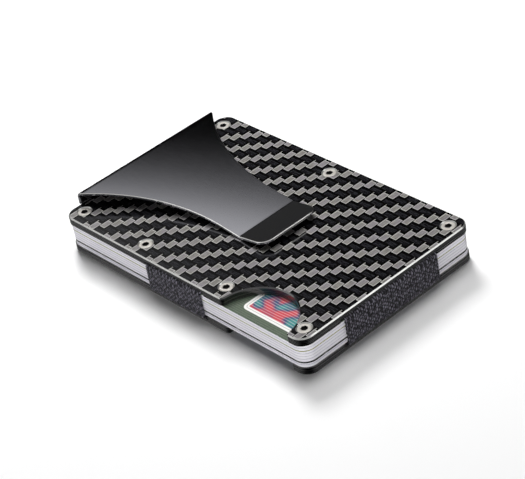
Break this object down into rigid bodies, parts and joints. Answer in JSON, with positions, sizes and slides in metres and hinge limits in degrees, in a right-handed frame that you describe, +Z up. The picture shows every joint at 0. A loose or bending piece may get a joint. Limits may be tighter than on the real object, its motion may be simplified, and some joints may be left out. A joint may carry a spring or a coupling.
{
  "type": "money clip card holder",
  "caption": "Slim sandwich-plate card holder held shut by elastic straps, with a sprung sheet clip for banknotes and a thumb notch for pushing the cards out.",
  "frame": {"origin": "middle of the base plate's lower face", "axes": "+X along the plates from the clip's wall towards the end strap, +Y across them away from the thumb notch, towards the open long side, +Z up through the card stack to the clip"},
  "size_m": [0.0867, 0.055, 0.014],
  "materials": {
    "carbon_weave": "gloss 2x2 twill carbon fibre laminate",
    "inner_aluminium": "dark anodised, satin",
    "screw_steel": "turned stainless, bright",
    "elastic_webbing": "woven elastic webbing",
    "anchor_plastic": "matt moulded",
    "clip_steel": "gloss black coated spring steel",
    "card_stock": "white printed card"
  },
  "bodies": {
    "base": {"bottom_outer_plate": "carbon_weave", "bottom_inner_plate": "inner_aluminium", "bottom_screws": "screw_steel", "bottom_side_anchor": "anchor_plastic", "bottom_end_anchor": "anchor_plastic", "side_strap": "elastic_webbing", "end_strap": "elastic_webbing"},
    "lid": {"top_outer_plate": "carbon_weave", "top_inner_plate": "inner_aluminium", "top_screws": "screw_steel", "top_side_anchor": "anchor_plastic", "top_end_anchor": "anchor_plastic", "clip_foot": "clip_steel"},
    "clip": {"clip_leaf": "clip_steel"},
    "card_1": {"card_1": "card_stock"},
    "card_2": {"card_2": "card_stock"},
    "card_3": {"card_3": "card_stock"},
    "card_4": {"card_4": "card_stock"},
    "card_5": {"card_5": "card_stock"},
    "card_6": {"card_6": "card_stock"},
    "card_7": {"card_7": "card_stock"},
    "card_8": {"card_8": "card_stock"}
  },
  "joints": [
    {"name": "plate_spread", "type": "slide", "parent": "base", "child": "lid", "axis": [0, 0, 1], "range_m": [0, 0.003], "stiffness_N_per_m": 1000, "springref_m": -0.008, "deforming": ["side_strap", "end_strap"]},
    {"name": "clip_flex", "type": "hinge", "parent": "lid", "child": "clip", "pos_m": [-0.04179, 0, 0.01403], "axis": [0, -1, 0], "range_deg": [0, 6], "stiffness_Nm_per_rad": 1, "springref_deg": -1.72},
    {"name": "card_1_slide", "type": "slide", "parent": "base", "child": "card_1", "axis": [0, 1, 0], "range_m": [0, 0.04]},
    {"name": "card_2_slide", "type": "slide", "parent": "base", "child": "card_2", "axis": [0, 1, 0], "range_m": [0, 0.04]},
    {"name": "card_3_slide", "type": "slide", "parent": "base", "child": "card_3", "axis": [0, 1, 0], "range_m": [0, 0.04]},
    {"name": "card_4_slide", "type": "slide", "parent": "base", "child": "card_4", "axis": [0, 1, 0], "range_m": [0, 0.04]},
    {"name": "card_5_slide", "type": "slide", "parent": "base", "child": "card_5", "axis": [0, 1, 0], "range_m": [0, 0.04]},
    {"name": "card_6_slide", "type": "slide", "parent": "base", "child": "card_6", "axis": [0, 1, 0], "range_m": [0, 0.04]},
    {"name": "card_7_slide", "type": "slide", "parent": "base", "child": "card_7", "axis": [0, 1, 0], "range_m": [0, 0.04]},
    {"name": "card_8_slide", "type": "slide", "parent": "base", "child": "card_8", "axis": [0, 1, 0], "range_m": [0, 0.04]}
  ]
}
